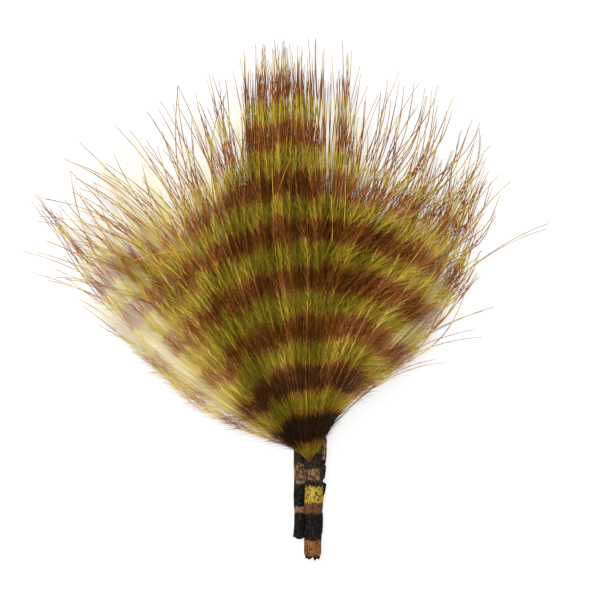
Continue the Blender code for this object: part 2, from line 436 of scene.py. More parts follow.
# %% Numbers along the barbs
PATCH_SIZE = 4.6 * MM
LOOSE_FROM = 40 * MM
WHOLE_BARS = 32 * MM
YOUNG_DOWN = 20 * MM
BARE_FROM = 0.75
BARE_OVER = 0.3
BARB_WIDTH = 0.12 * MM
BARE_WIDTH = 0.225 * MM
DEEP_TO = 8
DEEP_OVER = 10
BLOTCH_ANGLE = -32
BLOTCH_SPREAD = 7
BLOTCH_TO = 28
LOW_BLOTCH_TO = 13
BLOTCH_SOFTNESS = 10
TONE_RANGE = (0.02, 0.86)


def patches(line, phase):
    """A smooth, uneven field over the fan, about 0 on average. It sets clumps of down a shade apart."""
    x, y = line[:, 0] / PATCH_SIZE, line[:, 1] / PATCH_SIZE
    return np.sin(2.1 * x + 0.7 * y + phase) * np.sin(1.3 * y - 1.1 * x + 2 * phase) + 0.5 * np.sin(
        3.7 * x - 1.9 * y + 3 * phase)


def looseness(angle):
    """0 in the straight brush at the top, where the bars stay whole, and 1 to its left and right."""
    return rise(angle, 1, 8) + rise(-angle, 13, 8)


# Close to the quills the down's tone is pulled darker: partly its own colour, partly painted shade of the
# thick, dense down.
def darkness_and_shade(angle, distance):
    """1 close to the quills, where the down is dense and dark, and 0 at the thin edges of the fan."""
    deep = (1 - rise(distance, DEEP_TO, DEEP_OVER)) * (1 - 0.8 * rise(-angle, 44, 12))
    return deep * (1 - rise(angle, 28, 10))


def blotches(angle, distance):
    """How strongly the down is darkened low on the left, where the bars break up into blotches."""
    blotch = np.exp(-((angle - BLOTCH_ANGLE) / BLOTCH_SPREAD) ** 2)
    blotch = blotch * (1 - rise(distance, BLOTCH_TO, BLOTCH_SOFTNESS))
    return blotch + 0.9 * rise(-angle, 32, 10) * (1 - rise(distance, LOW_BLOTCH_TO, BLOTCH_SOFTNESS))


def along_barb(side, tier, line, shift, stretch, squeeze, tone, line_tone):
    """What Geometry Nodes read at each point of a barb: its down's length, tones, width and so on."""
    away = line[:, :2] - ROOT
    radius = np.hypot(away[:, 0], away[:, 1])
    angle = np.degrees(np.arctan2(away[:, 0], away[:, 1]))
    depth = radius / down_at(angle)
    along = np.linspace(0.0, 1.0, STEPS)
    fullness = fullness_at(side, angle)
    bare = rise(depth, BARE_FROM, BARE_OVER)
    fluff = (1 - 0.35 * bare) * (1 - 0.6 * rise(along, 0.7, 0.3))
    fluff *= 0.55 + 0.45 * smooth(radius / YOUNG_DOWN)
    fluff *= 1 + 0.3 * (1 - fullness)
    shown = tier["hidden"] + (1 - tier["hidden"]) * smooth(radius / tier["shown_from"])
    veil = 0.35 * rise(depth, BARE_FROM, 0.2) + 0.35 * (1 - fullness)
    veil *= (1 - rise(depth, 1.0, 0.15)) * (1 - rise(along, 0.8, 0.2))
    shift = (shift + 0.5 * MM * patches(line, 0.0)) * (0.3 + 0.7 * smooth(radius / WHOLE_BARS))
    shift += bars_moved(angle, radius)
    shift += stretch * np.maximum(0.0, radius - LOOSE_FROM) * looseness(angle)
    turn = ((radius + shift) / MM - FIRST_BAR) * (2 * math.pi / BAR_PERIOD)
    squeeze = squeeze * rise(np.abs(angle), 14, 18)
    deep = darkness_and_shade(angle, radius / MM)
    blotch = blotches(angle, radius / MM)
    tone = tone + 0.1 * patches(line, 1.0) - 0.24 * blotch
    line_tone = line_tone + 0.06 * patches(line, 1.0) - 0.3 * blotch
    # Here the tones near the quills are darkened: partly the down's own colour, partly painted shade of the
    # dense down.
    tone = tone - np.maximum(0.0, tone - 0.2) * deep
    line_tone = line_tone - np.maximum(0.0, line_tone - 0.3) * deep
    width = BARB_WIDTH * (0.6 + 0.4 * fullness) * (1 - bare) + BARE_WIDTH * bare
    # Where the down thins toward its end the tone rises: partly the thin barbules' own colour, partly painted
    # light shining through them.
    return {
        "shift": shift + squeeze * np.sin(turn) * BAR_PERIOD * MM / (2 * math.pi),
        "tone": np.clip(tone + 0.4 * rise(depth, 0.85, 0.3), *TONE_RANGE),
        "line": np.clip(line_tone + (0.38 + 0.3 * line_tone - line_tone) * bare, *TONE_RANGE),
        "fluff": np.clip(fluff, 0.0, 1.5),
        "width": width * (1 - 0.5 * rise(along, 0.9, 0.1)),
        "keep": shown * (1 - rise(depth, 0.85, 0.2)),
        "veil": np.clip(veil, 0.0, 1.0),
        "stout": 0.6 + 0.4 * fullness,
    }


print("the down is darkest up to", DEEP_TO, "mm from the root")

# %% Tufts and their barbs
LEFT_EDGE = -60.0
RIGHT_EDGE = 42.0
LEAST = {"left": 3, "right": 2}
SPREAD_OF_LENGTHS = {"left": 0.18, "right": 0.06}
BAR_SQUEEZE = {"left": (0.0, 0.9), "right": (-0.3, 0.6)}
LONGEST_BEND = 10 * MM


def strand_bend(tuft_angle, tuft_bend):
    """How far a strand drifts sideways past its middle, and how far it swings out at its tip."""
    to_right = rise(tuft_angle, 1, 8) * (1 - 0.7 * rise(tuft_angle, 16, 14))
    to_left = rise(-tuft_angle, 12, 14)
    outer_right = rise(tuft_angle, 24, 8)
    drift = to_right * (9 + 19 * tuft_bend + rng.normal(0.0, 3.0)) + rng.normal(0.0, 0.5)
    drift += outer_right * (9 * tuft_bend + rng.normal(0.0, 3.0))
    swing = to_left * (8 - 18 * tuft_bend + rng.normal(-1.0, 5.0)) + rng.normal(0.0, 0.7)
    swing -= 0.25 * tuft_angle * (1 - rise(abs(tuft_angle), 8, 6))
    drift = min(drift, RIGHT_EDGE - tuft_angle)
    swing = max(swing, LEFT_EDGE - tuft_angle)
    return drift, swing, rng.uniform(0.46, 0.58) - 0.25 * outer_right


def tier_guides(side, name):
    """The middle lines of one tier, and the numbers along them."""
    tier = TIERS[name]
    feather = FEATHERS[side]
    lines = []
    columns = []
    step = (feather["outer"] - feather["inner"]) / tier["tufts"]
    for tuft in range(tier["tufts"]):
        tuft_angle = feather["inner"] + step * (tuft + rng.uniform(0.2, 0.8))
        fullness = fullness_at(side, tuft_angle)
        aside = 1 - fullness_at(side, tuft_angle * 1.3)
        tuft_shift = rng.normal(0.0, 0.4 + 0.5 * rise(abs(tuft_angle), 10, 16)) * MM
        tuft_tone = rng.normal(0.0, 0.06)
        tuft_bend = rng.uniform(0.0, 1.0)
        squeeze = rng.uniform(*BAR_SQUEEZE[side])
        loose = looseness(tuft_angle)
        thin_top = rise(tuft_angle, -3, 4) * (1 - rise(tuft_angle, 5, 3))
        sparse = tier["sparse"] * (rise(tuft_angle, 16, 10) + 1.3 * rise(-tuft_angle, 20, 12))
        for _ in range(max(LEAST[side], round(tier["barbs"] * fullness * (1 - sparse)))):
            offset = rng.uniform(-1.0, 1.0) * abs(step) * 1.5
            is_long = rng.random() < (tier["long"] + 0.2 * aside) * (1 - 0.75 * thin_top)
            spread = 0.14 + SPREAD_OF_LENGTHS[side] * loose
            shorter = 1 - spread * rng.random() if is_long else rng.uniform(0.58, 0.85)
            bend = strand_bend(tuft_angle, tuft_bend)
            reach = min(reach_at(tuft_angle + bend[0] + bend[1]), reach_at(tuft_angle) + LONGEST_BEND)
            length = reach * tier["reach"] * shorter
            length *= 1 - 0.16 * rng.random() * rise(tuft_angle + bend[0], 32, 8)
            tip_spread = rng.uniform(0.1, 0.7) * (0.4 + 0.6 * loose)
            heights = (rng.uniform(*tier["peak"]) * MM, rng.uniform(*tier["tip"]) * MM)
            wave = ((2.0 + 2.0 * aside) * rng.random() ** 2, rng.uniform(0.0, 2 * math.pi))
            line = barb_line(side, tuft_angle, bend, offset, length, tip_spread, heights, wave)
            shift = tuft_shift + rng.normal(0.0, 0.5) * MM
            # Toward the outer sides the tone is raised: partly the thin down's own colour, partly painted
            # light shining through it.
            tone = 0.18 + tuft_tone + rng.uniform(-0.17, 0.17) + 0.42 * paleness_and_light_at(side, tuft_angle)
            lines.append(line)
            columns.append(along_barb(side, tier, line, shift, rng.normal(0.03, 0.1), squeeze, tone,
                                      tone + rng.uniform(-0.05, 0.5)))
    return np.array(lines), {key: np.array([row[key] for row in columns]) for key in columns[0]}


def guide_object(name, lines, columns):
    """A mesh of bare edges, one chain for each barb, that Geometry Nodes turn into strands."""
    count, steps = lines.shape[:2]
    starts = np.arange(count * steps).reshape(count, steps)
    edges = np.stack([starts[:, :-1].ravel(), starts[:, 1:].ravel()], axis=1)
    mesh = bpy.data.meshes.new(name)
    mesh.from_pydata(lines.reshape(-1, 3).tolist(), edges.tolist(), [])
    for key, value in columns.items():
        mesh.attributes.new(key, "FLOAT", "POINT").data.foreach_set("value", value.ravel())
    return placed(name, mesh)


guides = {(side, name): tier_guides(side, name) for side in FEATHERS for name in TIERS}
print("barbs:", sum(len(lines) for lines, _ in guides.values()))

# %% [markdown]
# Some strands stand out. The straight brush at the top ends in narrow clumps of bare strands. A few
# strays come up out of the down and leave the fan at its sides. On top of the down lie thin strands
# without bars, which took up only the yellow dye. Each row of a table starts with an angle. Strays
# and yellow strands then have a swing, a start and an end in mm, and clumps and strays end with how
# many strands they make.

# %% Strands that stand out
BRUSH = {
    "left": ((-8.7, 14), (-7.3, 14), (-4.9, 10), (-3.9, 9), (-1.2, 9)),
    "right": ((-0.3, 9), (2.2, 6), (3.0, 4), (4.8, 8), (5.3, 6)),
}
STRAYS = {
    "left": (
        (-43, -9.3, 30, 71.5, 2), (-47, -8.4, 30, 65.5, 2), (-45, -7.7, 30, 65, 1),
        (-52, 6.5, 38, 73, 4), (-49, 3.5, 36, 75, 4), (-46.5, 0.5, 36, 73, 4),
        (-44, -1, 34, 72, 3), (-31, -14, 30, 74, 4), (-27, -12, 30, 72, 2),
        (-37, -15, 30, 62, 1), (-30, -16, 30, 71, 1),
    ),
    "right": (
        (36, 9.4, 26, 68, 2), (30, 4, 26, 70, 2), (41, 11.3, 12, 44.5, 2),
        (40, 9.1, 12, 47, 2), (44, 10.9, 8, 33.5, 2), (24, 7.4, 30, 71.5, 3),
        (3, 4.5, 40, 80, 2), (5, 5, 40, 79, 2), (7, 5.5, 40, 78.5, 2),
        (10, 7, 40, 77.5, 3),
    ),
}
YELLOW_STRANDS = {
    "left": (
        (-7.3, -2.5, 45, 53), (-7.6, -1.5, 44, 50), (-13.3, 9.6, 45, 59),
        (-8, 1.5, 46, 60), (-7.8, -0.8, 29, 42), (8.9, -15.9, 23, 31),
        (6, -12, 22.5, 30), (-14, -4, 22, 33), (-21, -3, 31, 40),
        (-23, -2, 30, 38), (-29, -6, 36, 51), (-36, 3, 30, 47),
        (-42, -3, 24, 43), (8.8, -51.4, 46, 52.5),
    ),
    "right": (
        (6.4, -2.3, 38, 52), (2, 2, 54, 66), (9, -1.5, 43, 55),
        (7.8, 13, 33, 41.5), (6.8, 13, 32, 39), (3.4, 9.6, 25, 32.5),
        (2.4, 9.6, 26, 35), (17, 6, 44, 59), (24, 5, 38, 54),
        (8, 12, 50, 62),
    ),
}
BRUSH_REACH = (79.0, 83.0)
BRUSH_HEIGHTS = (5.0, 3.0)
STRAY_GAP = 0.8
STRAY_PEAK = 4.5
YELLOW_HEIGHTS = (10.2, 6.0)
YELLOW_TONE = 0.93
LONE_TIP_SPREAD = 0.18
SUNK = 3.0 * MM
GOLD_WIDTH = 0.17 * MM
lone = {side: [] for side in FEATHERS}


def lone_strand(side, angle, swing, start, reach, peak, tip, line_tone, offset=0.0):
    """Add one strand with no down on it. If it has a start, it comes up out of the down there."""
    wave = (rng.uniform(0.2, 0.8), rng.uniform(0.0, 2 * math.pi))
    whole = barb_line(side, angle, (0.0, swing, 0.5), offset, reach * MM, LONE_TIP_SPREAD,
                      (peak * MM, tip * MM), wave)
    places = np.linspace(start / reach, 1.0, STEPS) * (STEPS - 1)
    line = np.stack([np.interp(places, np.arange(STEPS), whole[:, axis]) for axis in range(3)], axis=1)
    line[:, 2] -= SUNK * (1 - smooth(np.linspace(0.0, 1.0, STEPS) / 0.4)) * (start > 0)
    column = along_barb(side, TIERS["rim"], line, 0.0, 0.0, 0.0, 0.3, line_tone)
    column["line"] = np.full(STEPS, line_tone)
    if start > 0:
        column["width"] = GOLD_WIDTH * (0.35 + 0.65 * np.sin(math.pi * np.linspace(0.1, 0.85, STEPS)))
    lone[side].append((line, column))


for side in FEATHERS:
    for angle, count in BRUSH[side]:
        clump_reach = rng.uniform(*BRUSH_REACH)
        for _ in range(count):
            reach = clump_reach * rng.uniform(0.88, 1.0)
            lone_strand(side, angle * 1.3, -0.3 * angle, 0.0, reach, *BRUSH_HEIGHTS,
                        rng.uniform(0.22, 0.6), rng.normal(0.0, 1.1))
for side in FEATHERS:
    for angle, swing, start, reach, count in STRAYS[side]:
        for _ in range(count):
            lone_strand(side, angle + rng.normal(0.0, STRAY_GAP), swing * rng.uniform(0.8, 1.1), start,
                        reach * rng.uniform(0.92, 1.0), STRAY_PEAK, rng.uniform(1.0, 2.0),
                        rng.uniform(0.3, 0.7))
for side in FEATHERS:
    for angle, swing, start, reach in YELLOW_STRANDS[side]:
        lone_strand(side, angle, swing, start, reach, *YELLOW_HEIGHTS, YELLOW_TONE)
print("strands that stand out:", {side: len(strands) for side, strands in lone.items()})

# %% [markdown]
# The bars were printed when the feather grew, so they follow the distance from the root and not the
# barb. The colour is read from the strand's own map: across it runs the distance from the root, and
# up it runs the strand's tone, from deep to pale. One material then serves every barb and barbule,
# and two strands of the same place and tone always have the same colour.

# %% Colours of the down
PRINT_SPAN = 88.0
MAP_NAME = "OFBake"
# The pale end of each ramp is lighter and more saturated than dry down: partly its own colour, partly painted
# light shining through thin barbules.
TONES = (0.0, 0.25, 0.5, 0.7, 0.87, 0.92)
GOLD = (0.62, 0.41, 0.06)
DYES_AND_LIGHT = {
    "olive": ((0.075, 0.065, 0.003), (0.20, 0.145, 0.009), (0.43, 0.29, 0.026), (0.62, 0.45, 0.07),
              (0.70, 0.57, 0.20), GOLD),
    "brown": ((0.045, 0.014, 0.002), (0.11, 0.034, 0.004), (0.28, 0.094, 0.019), (0.34, 0.135, 0.045),
              (0.50, 0.275, 0.125), GOLD),
    "rust": ((0.08, 0.035, 0.004), (0.20, 0.085, 0.012), (0.42, 0.17, 0.025), (0.55, 0.31, 0.09),
             (0.62, 0.44, 0.24), GOLD),
}
DARKEST = (0.014, 0.009, 0.005, 1.0)
DARK_FADES = (9.0, 27.0)
WIDE_FADES = (8.0, 24.0)
FRINGE_EDGE = (-0.5, -0.15)
BAR_EDGE = (-0.05, 0.4)
DOWN_FINISH = {"Roughness": 0.6, "Specular IOR Level": 0.03}
barred_down, down_tree, down_shader = new_material("barred_down", DOWN_FINISH)
down_map = add_node(down_tree, "ShaderNodeUVMap", {"uv_map": MAP_NAME})
tone = down_map.axis("Y")
distance = down_map.axis("X") * PRINT_SPAN
bar_turn = (distance - FIRST_BAR) * (2 * math.pi / BAR_PERIOD)
bar_wave = bar_turn.maths("COSINE", bar_turn)
olive, brown, rust = (tone.dyed(TONES, colours) for colours in DYES_AND_LIGHT.values())
# Close to the root the dark bars go almost black: partly their own colour, partly painted shade of the dense
# down.
root_dark_and_shade = 1 - distance.over(*DARK_FADES)
wide_wave = bar_wave + (1 - distance.over(*WIDE_FADES)) * 0.4
dark_bar = (root_dark_and_shade * (1 - tone.over(0.5, 0.75)) * 0.85).mixed(brown, DARKEST)
fringe = wide_wave.over(*FRINGE_EDGE).mixed(olive, rust)
down_colour = wide_wave.over(*BAR_EDGE).mixed(fringe, dark_bar)
down_colour.into(down_shader, "Base Color")
print("dyes of the down:", ", ".join(DYES_AND_LIGHT))

# %% [markdown]
# Two node trees turn the guides into feather. The first one runs a thin three-sided tube along each
# barb. The second one sets barbules along it, each one a slender spike with three sides, which is
# the cheapest closed shape that still looks like a hair from every side. A spike leans forward along
# its barb and points to a side that is drawn at random. Both trees write the map for the colours,
# and hold it inside its square, because an image baked from it has nothing beyond its edges.

# %% Helpers for the trees
LOWEST = 0.05 * MM
HIGHEST_TONE = 0.94
FURTHEST = 0.99
CORNER_STEPS = (0.004, 0.012)


def new_tree(name, numbers):
    """A Geometry Nodes tree with a geometry input and the named numbers, and wires for them."""
    tree = bpy.data.node_groups.new(name, "GeometryNodeTree")
    tree.interface.new_socket(name="Geometry", in_out="INPUT", socket_type="NodeSocketGeometry")
    for key, default in numbers.items():
        kind = "NodeSocketInt" if isinstance(default, int) else "NodeSocketFloat"
        tree.interface.new_socket(name=key, in_out="INPUT", socket_type=kind).default_value = default
    tree.interface.new_socket(name="Geometry", in_out="OUTPUT", socket_type="NodeSocketGeometry")
    source = tree.nodes.new("NodeGroupInput")
    return tree, {socket.name: Wire(tree, socket) for socket in source.outputs if socket.name}


def named(tree, key):
    """The wire of one of the numbers stored along the guides."""
    return add_node(tree, "GeometryNodeInputNamedAttribute", None, {"Name": key})


def finish_tree(tree, strands, corners):
    """Make the strands real, keep them above the surface, and store their colour map and material."""
    place = add_node(tree, "GeometryNodeInputPosition")
    distance = place.vectors("MULTIPLY", (1.0, 1.0, 0.0)).vectors("DISTANCE", (*ROOT, 0.0), out="Value")
    number = add_node(tree, "GeometryNodeInputIndex")
    corner = number.maths("MODULO", number, corners)
    across = (distance + named(tree, "shift") + named(tree, "own_shift")) * (1 / (PRINT_SPAN * MM))
    across = across.held(0.0, FURTHEST) + corner.maths("COMPARE", corner, 1.0, 0.1) * CORNER_STEPS[0]
    own_tone = named(tree, "tone") + named(tree, "own_tone")
    up = own_tone.held(0.0, HIGHEST_TONE) + corner * CORNER_STEPS[1]
    spot = place.node("ShaderNodeCombineXYZ", None, {"X": across, "Y": up})
    real = place.node("GeometryNodeRealizeInstances", None, {"Geometry": strands})
    above = place.vectors("MAXIMUM", (-1.0, -1.0, LOWEST))
    resting = place.node("GeometryNodeSetPosition", None, {"Geometry": real, "Position": above})
    mapped = place.node("GeometryNodeStoreNamedAttribute", {"data_type": "FLOAT2", "domain": "CORNER"},
                        {"Geometry": resting, "Name": MAP_NAME, "Value": spot})
    painted = place.node("GeometryNodeSetMaterial", None, {"Geometry": mapped, "Material": barred_down})
    painted.into(tree.nodes.new("NodeGroupOutput"), "Geometry")


def grown(guide, tree, sizes, name):
    """Run a tree on a guide and keep the result as a plain mesh object."""
    modifier = guide.modifiers.new(tree.name, "NODES")
    modifier.node_group = tree
    for item in tree.interface.items_tree:
        if item.in_out == "INPUT" and item.name in sizes:
            modifier[item.identifier] = sizes[item.name]
    mesh = plain_mesh(guide, name)
    bpy.data.objects.remove(guide)
    return placed(name, mesh)


print("tree helpers ready")

# %% Barb tree
barb_tree, barb_in = new_tree("run_tubes_along_barbs", {"Thickness": 1.0})
barb_tube = add_node(barb_tree, "GeometryNodeCurveToMesh", None, {
    "Curve": add_node(barb_tree, "GeometryNodeMeshToCurve", None, {"Mesh": barb_in["Geometry"]}),
    "Profile Curve": add_node(barb_tree, "GeometryNodeCurvePrimitiveCircle", None,
                              {"Resolution": 3, "Radius": 0.5}),
    "Scale": named(barb_tree, "width") * barb_in["Thickness"],
    "Fill Caps": True,
})
finish_tree(barb_tree, barb_tube, 3)
print("barb tree ready")

# %% Barbule tree
down_sizes = {"Spacing": 0.35 * MM, "Length": 2.8 * MM, "Width": 0.12 * MM, "Least lean": 0.2,
              "Most lean": 0.65, "Flatness": 0.6, "Seed": 5}
SPIKE_FOOT = 0.58
OWN_SHIFT = 0.5 * MM
barbule_tree, barbule_in = new_tree("set_barbules_along_barbs", down_sizes)


def chance(tree, low, high, seed):
    """A random number for each barbule."""
    return add_node(tree, "FunctionNodeRandomValue", None, {2: low, 3: high, "Seed": seed}, 1)


def coat(tree, source, chosen_by, size_share, girth_share, tones, seed):
    """Barbules along the guides: how many and where, how large, how light, and all pointing forward."""
    curve = add_node(tree, "GeometryNodeMeshToCurve", None, {"Mesh": source["Geometry"]})
    spots = tree.nodes.new("GeometryNodeCurveToPoints")
    spots.mode = "LENGTH"
    curve.into(spots, "Curve")
    source["Spacing"].into(spots, "Length")
    tangent = Wire(tree, spots.outputs["Tangent"])
    draws = {axis: chance(tree, -1.0, 1.0, seed + place) for place, axis in enumerate("XYZ", 1)}
    sideways = add_node(tree, "ShaderNodeCombineXYZ", None, draws)
    level = add_node(tree, "ShaderNodeCombineXYZ", None, {"X": 1.0, "Y": 1.0, "Z": source["Flatness"]})
    outwards = tangent.vectors("CROSS_PRODUCT", sideways).vectors("MULTIPLY", level).vectors("NORMALIZE")
    lean = chance(tree, source["Least lean"], source["Most lean"], seed + 4)
    heading = tangent.vectors("ADD", outwards.scaled(lean))
    fluff = named(tree, "fluff")
    size = source["Length"] * size_share * fluff * chance(tree, 0.6, 1.15, seed + 5)
    girth = source["Width"] * girth_share * (fluff * (1 - fluff * 0.4) + 0.4) * named(tree, "stout")
    turned = add_node(tree, "FunctionNodeAlignRotationToVector", {"axis": "Z"}, {"Vector": heading})
    spike = add_node(tree, "GeometryNodeMeshCone", None,
                     {"Vertices": 3, "Radius Top": 0.0, "Radius Bottom": SPIKE_FOOT, "Depth": 1.0})
    chosen = add_node(tree, "FunctionNodeRandomValue", {"data_type": "BOOLEAN"},
                      {"Probability": named(tree, chosen_by), "Seed": seed + 6}, 3)
    made = add_node(tree, "GeometryNodeInstanceOnPoints", None, {
        "Points": Wire(tree, spots.outputs["Points"]),
        "Selection": chosen,
        "Instance": spike,
        "Rotation": turned,
        "Scale": add_node(tree, "ShaderNodeCombineXYZ", None, {"X": girth, "Y": girth, "Z": size}),
    })
    for key, low, high in (("own_shift", -OWN_SHIFT, OWN_SHIFT), ("own_tone", *tones)):
        seed = seed + 7
        made = add_node(tree, "GeometryNodeStoreNamedAttribute", {"domain": "INSTANCE"}, {
            "Geometry": made,
            "Name": key,
            "Value": chance(tree, low, high, seed),
        })
    return made


thick_coat = coat(barbule_tree, barbule_in, "keep", 1.0, 1.0, (-0.16, 0.16), barbule_in["Seed"])
# The fine coat's tones are raised: partly the fine barbules' own paler colour, partly painted light shining
# through them.
fine_coat = coat(barbule_tree, barbule_in, "veil", 1.9, 0.6, (0.1, 0.34), barbule_in["Seed"] + 50)
both_coats = barbule_tree.nodes.new("GeometryNodeJoinGeometry")
for one_coat in (thick_coat, fine_coat):
    one_coat.into(both_coats, 0)
barbules = Wire(barbule_tree, both_coats.outputs[0])
finish_tree(barbule_tree, barbules, 4)
print("barbule tree ready")

# %% Grow the feathers
SPACING = {"rim": 0.44 * MM, "middle": 0.4 * MM, "crown": 0.3 * MM}
FLATNESS = {"rim": 0.5, "middle": 0.5, "crown": 0.4}
made_pieces = []
for side in FEATHERS:
    lines = np.concatenate([guides[side, name][0] for name in TIERS] + [[line for line, _ in lone[side]]])
    columns = {key: np.concatenate([guides[side, name][1][key] for name in TIERS]
                                   + [[column[key] for _, column in lone[side]]])
               for key in ("shift", "line", "width")}
    columns["tone"] = columns.pop("line")
    guide = guide_object(f"{side}_guides", lines, columns)
    made_pieces.append((side, grown(guide, barb_tree, {}, f"{side}_barbs")))
    for name in TIERS:
        guide = guide_object(f"{side}_{name}_guides", *guides[side, name])
        sizes = {"Spacing": SPACING[name], "Flatness": FLATNESS[name]}
        made_pieces.append((side, grown(guide, barbule_tree, sizes, f"{side}_{name}_down")))
for side, piece in made_pieces:
    piece.data.calc_loop_triangles()
    print(piece.name, len(piece.data.loop_triangles), "triangles")
    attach(piece, "root")
    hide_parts(f"{side}_feather")

# %% [markdown]
# Between the strands the barbules get so fine that they look like mist. That part is two thin sheets
# for each feather: a web low under the strands, and a haze that rises higher at the outer side. Their
# streaky transparency thins out towards the rim, so that no edge of a sheet can be seen, and the
# bars go on across them in paler tones.

# %% The finest down
WEB_SPOKES = 70
WEB_RINGS = 36
WEB_START = 5.0 * MM
WEB_RIPPLE = 0.25 * MM
STREAKS_FAN = 70
LOW_WEB = (0.5 * MM, 2.6 * MM)
HIGH_HAZE = (1.0 * MM, 6.0 * MM)
SHEETS = {
    "left_web": {"side": "left", "angles": (-62, 9), "reach": 0.94, "height": LOW_WEB, "from": 0.0,
                 "fades": (0.09, 0.0), "pale": (0.3, 0.25), "bars": (1.0, 0.24, 0.14), "broken": 4.0,
                 "thickness": 0.68, "seed": 0.0},
    "left_haze": {"side": "left", "angles": (-61, -22), "reach": 0.86, "height": HIGH_HAZE, "from": 0.15,
                  "fades": (0.2, 0.5), "pale": (0.8, 0.45), "bars": (1.0, 0.42, 0.22), "broken": 2.0,
                  "thickness": 0.42, "seed": 3.0},
    "right_web": {"side": "right", "angles": (45.5, -9), "reach": 0.86, "height": LOW_WEB, "from": 0.0,
                  "fades": (0.14, 0.0), "pale": (0.45, 0.6), "bars": (-0.9, 0.45, 0.3), "broken": 5.0,
                  "thickness": 0.5, "seed": 6.0},
    "right_haze": {"side": "right", "angles": (47, 18), "reach": 0.84, "height": HIGH_HAZE, "from": 0.25,
                   "fades": (0.4, 0.5), "pale": (0.8, 0.4), "bars": (-0.9, 0.6, 0.4), "broken": 5.0,
                   "thickness": 0.2, "seed": 9.0},
}
# The sheets' colours are the finest down's own pale colours, brightened as painted light against the shade of
# the strands above.
WEB_TONES = (0.2, 0.45, 0.65, 0.82, 1.0)
WEB_DYES_AND_LIGHT = {
    "olive": ((0.26, 0.185, 0.02), (0.48, 0.35, 0.045), (0.60, 0.48, 0.14), (0.65, 0.56, 0.24),
              (0.68, 0.61, 0.40)),
    "brown": ((0.10, 0.032, 0.006), (0.24, 0.095, 0.022), (0.32, 0.145, 0.06), (0.42, 0.25, 0.16),
              (0.56, 0.44, 0.38)),
}


def web_sheet(name, sheet):
    """A thin sheet in the shape of one feather's fan, mapped by its distance and its turn."""
    outer, inner = sheet["angles"]
    low, climb = sheet["height"]
    rows = np.linspace(0.0, 1.0, WEB_RINGS)
    points = []
    for across in np.linspace(0.0, 1.0, WEB_SPOKES):
        angle = outer + (inner - outer) * across
        reach = reach_at(angle) * sheet["reach"]
        radius = WEB_START + (reach - WEB_START) * rows
        turn = np.radians(angle * pinched(sheet["side"], radius))
        height = low + climb * np.sin(math.pi * rows ** 0.7) + WEB_RIPPLE * np.sin(angle * 0.9) * rows
        points += list(zip(ROOT[0] + radius * np.sin(turn), ROOT[1] + radius * np.cos(turn), height))
    faces = []
    for spoke in range(WEB_SPOKES - 1):
        for ring in range(WEB_RINGS - 1):
            first = spoke * WEB_RINGS + ring
            corners = (first, first + 1, first + WEB_RINGS + 1, first + WEB_RINGS)
            faces.append(corners if outer > inner else corners[::-1])
    mesh = bpy.data.meshes.new(name)
    mesh.from_pydata(points, [], faces)
    mesh.shade_smooth()
    spots = np.array([(index % WEB_RINGS / (WEB_RINGS - 1), index // WEB_RINGS / (WEB_SPOKES - 1))
                      for loop in mesh.polygons for index in loop.vertices])
    mesh.uv_layers.new(name=MAP_NAME).data.foreach_set("uv", spots.ravel())
    return placed(name, mesh)


def web_material(name, sheet):
    """Streaky, half see-through down with the same bars as the barbs, paler and softer."""
    material, tree, shader = new_material(f"{name}_down", {"Roughness": 0.8, "Specular IOR Level": 0.05})
    level = add_node(tree, "ShaderNodeTexCoord", out="Object").scaled(1 / MM).vectors("MULTIPLY", (1, 1, 0))
    distance = level.vectors("DISTANCE", (ROOT[0] / MM, ROOT[1] / MM, 0.0), out="Value")
    spot = add_node(tree, "ShaderNodeUVMap", {"uv_map": MAP_NAME})
    share = spot.axis("X")
    across = spot.axis("Y")
    outer, inner = sheet["angles"]
    width = abs(outer - inner) / STREAKS_FAN

    def grain(along, aside, detail):
        """A noise in long streaks, alike on a narrow sheet and on a wide one."""
        stretched = spot.vectors("MULTIPLY_ADD", (along, aside * width, 1.0), (0.0, 0.0, sheet["seed"]))
        return stretched.noise(1.0, detail)

    streaks = grain(2.6, 95.0, 3.0)
    wisps = grain(1.4, 17.0, 2.0)
    blots = grain(5.0, 9.0, 2.0)
    shift, dark_place, dark_half = sheet["bars"]
    turn = (distance + (wisps - 0.5) * sheet["broken"] + (shift - FIRST_BAR)) * (2 * math.pi / BAR_PERIOD)
    away = (across - dark_place).maths("ABSOLUTE", across - dark_place) * (1 / dark_half)
    kept = (blots * 0.8 + 0.62 - away * 0.5).over(0.35, 0.8)
    bars = (turn.maths("COSINE", turn) + (streaks - 0.5) * 0.8).over(-0.2, 0.7) * kept
    pale_over, pale_aside = sheet["pale"]
    pale = share + (streaks - 0.5) * 0.45 + (1 - across.over(0.0, pale_over)) * pale_aside
    web_olive, web_brown = (pale.dyed(WEB_TONES, colours) for colours in WEB_DYES_AND_LIGHT.values())
    bars.mixed(web_olive, web_brown).into(shader, "Base Color")
    rim = share + (wisps - 0.5) * 0.7 + (streaks - 0.5) * 0.4
    outer_fade, inner_fade = sheet["fades"]
    outer_edge = (across + (streaks - 0.5) * outer_fade).over(0.02, outer_fade + 0.02)
    inner_edge = (1 - across + (streaks - 0.5) * inner_fade).over(-0.02, inner_fade)
    near_edge = share.over(sheet["from"] - 0.01, sheet["from"] + 0.15)
    cover = streaks.over(0.2, 0.7) * 0.4 + sheet["thickness"]
    density = (1 - rim.over(0.62, 0.98)) * outer_edge * inner_edge * near_edge * cover
    density.into(shader, "Alpha")
    return material


for name, sheet in SHEETS.items():
    web = web_sheet(name, sheet)
    web.data.materials.append(web_material(name, sheet))
    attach(web, "root")
    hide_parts(f"{sheet['side']}_feather")
    print(name, len(web.data.polygons), "faces")

